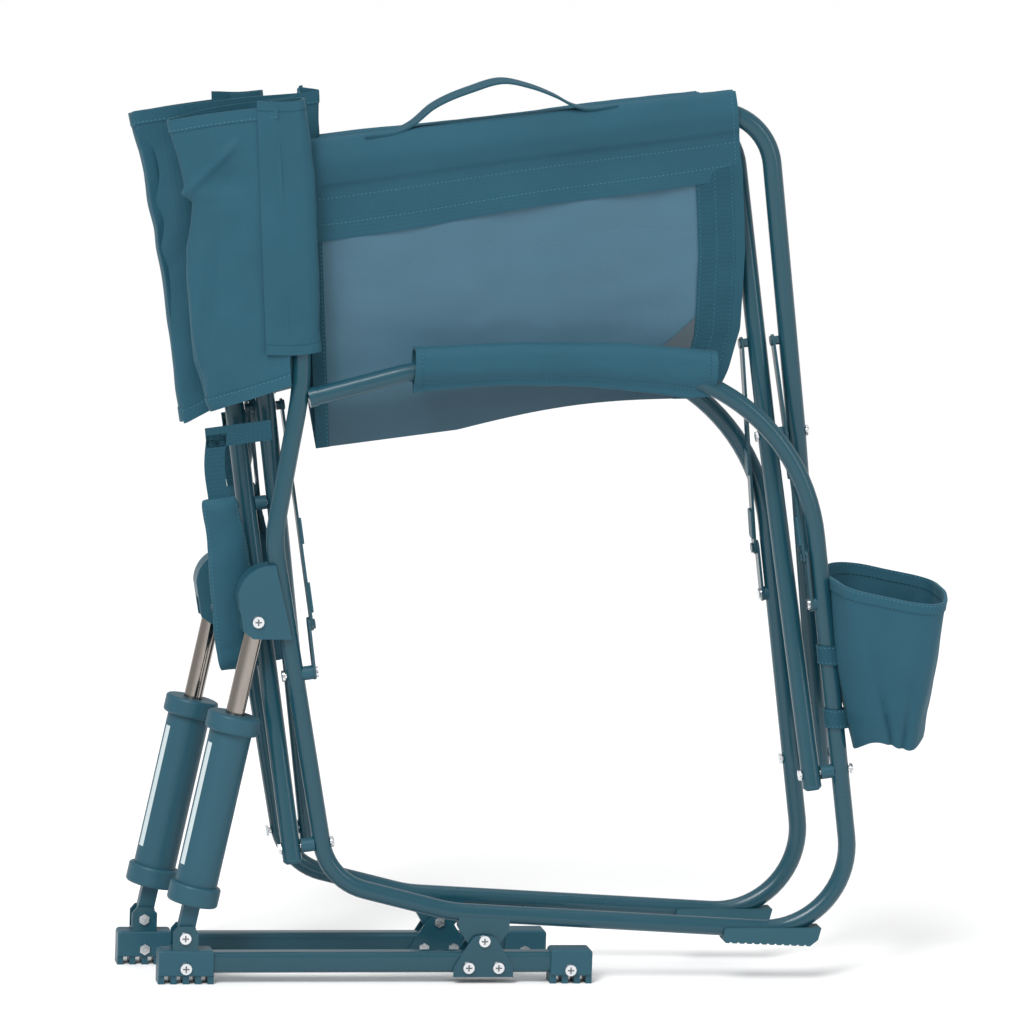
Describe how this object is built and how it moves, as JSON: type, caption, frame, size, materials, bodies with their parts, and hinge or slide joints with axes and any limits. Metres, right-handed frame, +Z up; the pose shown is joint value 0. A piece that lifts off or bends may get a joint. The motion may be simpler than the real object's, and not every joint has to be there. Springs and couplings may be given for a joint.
{
  "type": "folding camp chair",
  "caption": "Folding rocking camp chair with bent tube side frames, scissor legs, cloth seat and back, rocker rails with rear shock absorbers, padded arms and a cup holder.",
  "frame": {"origin": "centre of the folded chair's footprint box, on the ground", "axes": "+X towards the chair's front, +Y towards its left side, +Z up"},
  "size_m": [0.8494, 0.1736, 0.8876],
  "materials": {
    "painted_steel": "satin powder coat",
    "stay_steel": "satin powder coat on flat bar",
    "zinc_hardware": "bright zinc",
    "chrome_rod": "polished chrome",
    "moulded_plastic": "fine texture",
    "rubber_sole": "ribbed",
    "teal_cloth": "plain woven coated polyester",
    "seat_cloth": "coated polyester, reverse side",
    "webbing": "flat woven webbing"
  },
  "bodies": {
    "side_right": {"frame_right": "painted_steel", "pivot_bolts_right": "zinc_hardware", "spacers_right": "moulded_plastic", "stay_brackets_right": "stay_steel", "shock_housing_right": "moulded_plastic", "hinge_saddle_right": "painted_steel", "sole_pad_right": "rubber_sole", "arm_pad_right": "teal_cloth", "back_sleeve_right": "teal_cloth", "cup_holder": "teal_cloth"},
    "side_left": {"frame_left": "painted_steel", "pivot_bolts_left": "zinc_hardware", "spacers_left": "moulded_plastic", "stay_brackets_left": "stay_steel", "shock_housing_left": "moulded_plastic", "hinge_saddle_left": "painted_steel", "sole_pad_left": "rubber_sole", "arm_pad_left": "teal_cloth", "back_sleeve_left": "teal_cloth"},
    "scissor_b": {"scissor_frame_b": "painted_steel", "end_caps_b": "moulded_plastic", "seat_sleeve_b": "teal_cloth", "centre_bolts": "zinc_hardware", "centre_spacers": "moulded_plastic"},
    "scissor_a": {"scissor_frame_a": "painted_steel", "end_caps_a": "moulded_plastic", "seat_sleeve_a": "teal_cloth"},
    "handle": {"carry_handle": "webbing"},
    "stay_right": {"stay_front_right": "stay_steel", "stay_rear_right": "stay_steel", "stay_guides_right": "moulded_plastic"},
    "rail_right": {"base_rail_right": "painted_steel", "rear_foot_right": "moulded_plastic", "front_foot_right": "moulded_plastic", "rocker_bracket_right": "painted_steel", "shock_fork_right": "painted_steel", "rail_bolts_right": "zinc_hardware"},
    "rod_right": {"shock_rod_right": "chrome_rod"},
    "damper_right": {"shock_cylinder_right": "moulded_plastic", "shock_collars_right": "moulded_plastic"},
    "seat_right": {"seat_right": "seat_cloth"},
    "back_outer_right": {"back_outer_right": "teal_cloth"},
    "back_inner_right": {"back_inner_right": "teal_cloth"},
    "strap_right": {"strap_right": "teal_cloth"},
    "stay_left": {"stay_front_left": "stay_steel", "stay_rear_left": "stay_steel", "stay_guides_left": "moulded_plastic"},
    "rail_left": {"base_rail_left": "painted_steel", "rear_foot_left": "moulded_plastic", "front_foot_left": "moulded_plastic", "rocker_bracket_left": "painted_steel", "shock_fork_left": "painted_steel", "rail_bolts_left": "zinc_hardware"},
    "rod_left": {"shock_rod_left": "chrome_rod"},
    "damper_left": {"shock_cylinder_left": "moulded_plastic", "shock_collars_left": "moulded_plastic"},
    "seat_left": {"seat_left": "seat_cloth"},
    "back_outer_left": {"back_outer_left": "teal_cloth"},
    "back_inner_left": {"back_inner_left": "teal_cloth"},
    "strap_left": {"strap_left": "teal_cloth"}
  },
  "joints": [
    {"name": "fold", "type": "hinge", "parent": "side_right", "child": "scissor_b", "pos_m": [0.32432, -0.03275, 0.21513], "axis": [-0.9898, 0, -0.1426], "range_deg": [0, 52.08]},
    {"name": "scissor", "type": "hinge", "parent": "scissor_b", "child": "scissor_a", "pos_m": [0.27615, 0.01375, 0.54939], "axis": [-0.9898, 0, -0.1426], "range_deg": [-104.22, 0]},
    {"name": "left_side", "type": "hinge", "parent": "scissor_a", "child": "side_left", "pos_m": [0.32432, 0.06025, 0.21513], "axis": [-0.9898, 0, -0.1426], "range_deg": [0, 52.13]},
    {"name": "handle_swing", "type": "hinge", "parent": "scissor_a", "child": "handle", "pos_m": [-0.04418, -0.00265, 0.83724], "axis": [-0.9898, 0, -0.1426], "range_deg": [0, 52.13]},
    {"name": "stay_right", "type": "hinge", "parent": "side_right", "child": "stay_right", "pos_m": [0.29312, -0.03275, 0.43165], "axis": [-0.9898, 0, -0.1426], "range_deg": [0, 77.26]},
    {"name": "seat_right", "type": "hinge", "parent": "scissor_a", "child": "seat_right", "pos_m": [-0.02834, -0.00265, 0.83952], "axis": [-0.9898, 0, -0.1426], "range_deg": [-16.56, 0]},
    {"name": "back_outer_right", "type": "hinge", "parent": "side_right", "child": "back_outer_right", "pos_m": [-0.24728, -0.03275, 0.868], "axis": [-0.0665, 0, 0.9978], "range_deg": [-80.98, 0]},
    {"name": "back_inner_right", "type": "hinge", "parent": "back_outer_right", "child": "back_inner_right", "pos_m": [-0.39261, -0.0095, 0.85831], "axis": [-0.0665, 0, 0.9978], "range_deg": [0, 161.91]},
    {"name": "strap_right", "type": "hinge", "parent": "side_right", "child": "strap_right", "pos_m": [-0.31432, -0.03275, 0.54541], "axis": [-0.9898, 0, -0.1426], "range_deg": [-80.98, 0]},
    {"name": "rock_right", "type": "hinge", "parent": "side_right", "child": "rail_right", "pos_m": [-0.03208, -0.03275, 0.0434], "axis": [0, 1, 0], "range_deg": [-5, 7], "stiffness_Nm_per_rad": 150},
    {"name": "shock_swing_right", "type": "hinge", "parent": "side_right", "child": "rod_right", "pos_m": [-0.26778, -0.03275, 0.3623], "axis": [0, 1, 0], "range_deg": [-0.82, 1.13]},
    {"name": "shock_stroke_right", "type": "slide", "parent": "rod_right", "child": "damper_right", "axis": [0.1949, 0, 0.9808], "range_m": [-0.02578, 0.03605]},
    {"name": "stay_left", "type": "hinge", "parent": "side_left", "child": "stay_left", "pos_m": [0.26342, 0.06025, 0.42737], "axis": [-0.9898, 0, -0.1426], "range_deg": [-77.26, 0]},
    {"name": "seat_left", "type": "hinge", "parent": "scissor_b", "child": "seat_left", "pos_m": [-0.05804, 0.03015, 0.83524], "axis": [-0.9898, 0, -0.1426], "range_deg": [0, 16.56]},
    {"name": "back_outer_left", "type": "hinge", "parent": "side_left", "child": "back_outer_left", "pos_m": [-0.27759, 0.06025, 0.868], "axis": [-0.0665, 0, 0.9978], "range_deg": [0, 80.98]},
    {"name": "back_inner_left", "type": "hinge", "parent": "back_outer_left", "child": "back_inner_left", "pos_m": [-0.42292, 0.037, 0.85831], "axis": [-0.0665, 0, 0.9978], "range_deg": [-161.91, 0]},
    {"name": "strap_left", "type": "hinge", "parent": "side_left", "child": "strap_left", "pos_m": [-0.31432, 0.06025, 0.54541], "axis": [-0.9898, 0, -0.1426], "range_deg": [0, 80.98]},
    {"name": "rock_left", "type": "hinge", "parent": "side_left", "child": "rail_left", "pos_m": [-0.06239, 0.06025, 0.0434], "axis": [0, 1, 0], "range_deg": [-5, 7], "stiffness_Nm_per_rad": 150},
    {"name": "shock_swing_left", "type": "hinge", "parent": "side_left", "child": "rod_left", "pos_m": [-0.29809, 0.06025, 0.3623], "axis": [0, 1, 0], "range_deg": [-0.82, 1.13]},
    {"name": "shock_stroke_left", "type": "slide", "parent": "rod_left", "child": "damper_left", "axis": [0.1949, 0, 0.9808], "range_m": [-0.02578, 0.03605]}
  ],
  "couplings": [
    {"joint": "scissor", "follows": "fold", "ratio": -2},
    {"joint": "left_side", "follows": "fold", "ratio": 1},
    {"joint": "handle_swing", "follows": "fold", "ratio": 1},
    {"joint": "stay_right", "follows": "fold", "ratio": 1.4824},
    {"joint": "seat_right", "follows": "fold", "ratio": -0.31699},
    {"joint": "back_outer_right", "follows": "fold", "ratio": -1.5539},
    {"joint": "back_inner_right", "follows": "fold", "ratio": 3.1077},
    {"joint": "strap_right", "follows": "fold", "ratio": -1.5539},
    {"joint": "shock_swing_right", "follows": "rock_right", "ratio": 0.15428},
    {"joint": "shock_stroke_right", "follows": "rock_right", "m_per_rad": 0.29424},
    {"joint": "stay_left", "follows": "fold", "ratio": -1.4824},
    {"joint": "seat_left", "follows": "fold", "ratio": 0.31699},
    {"joint": "back_outer_left", "follows": "fold", "ratio": 1.5539},
    {"joint": "back_inner_left", "follows": "fold", "ratio": -3.1077},
    {"joint": "strap_left", "follows": "fold", "ratio": 1.5539},
    {"joint": "shock_swing_left", "follows": "rock_left", "ratio": 0.15428},
    {"joint": "shock_stroke_left", "follows": "rock_left", "m_per_rad": 0.29424}
  ]
}
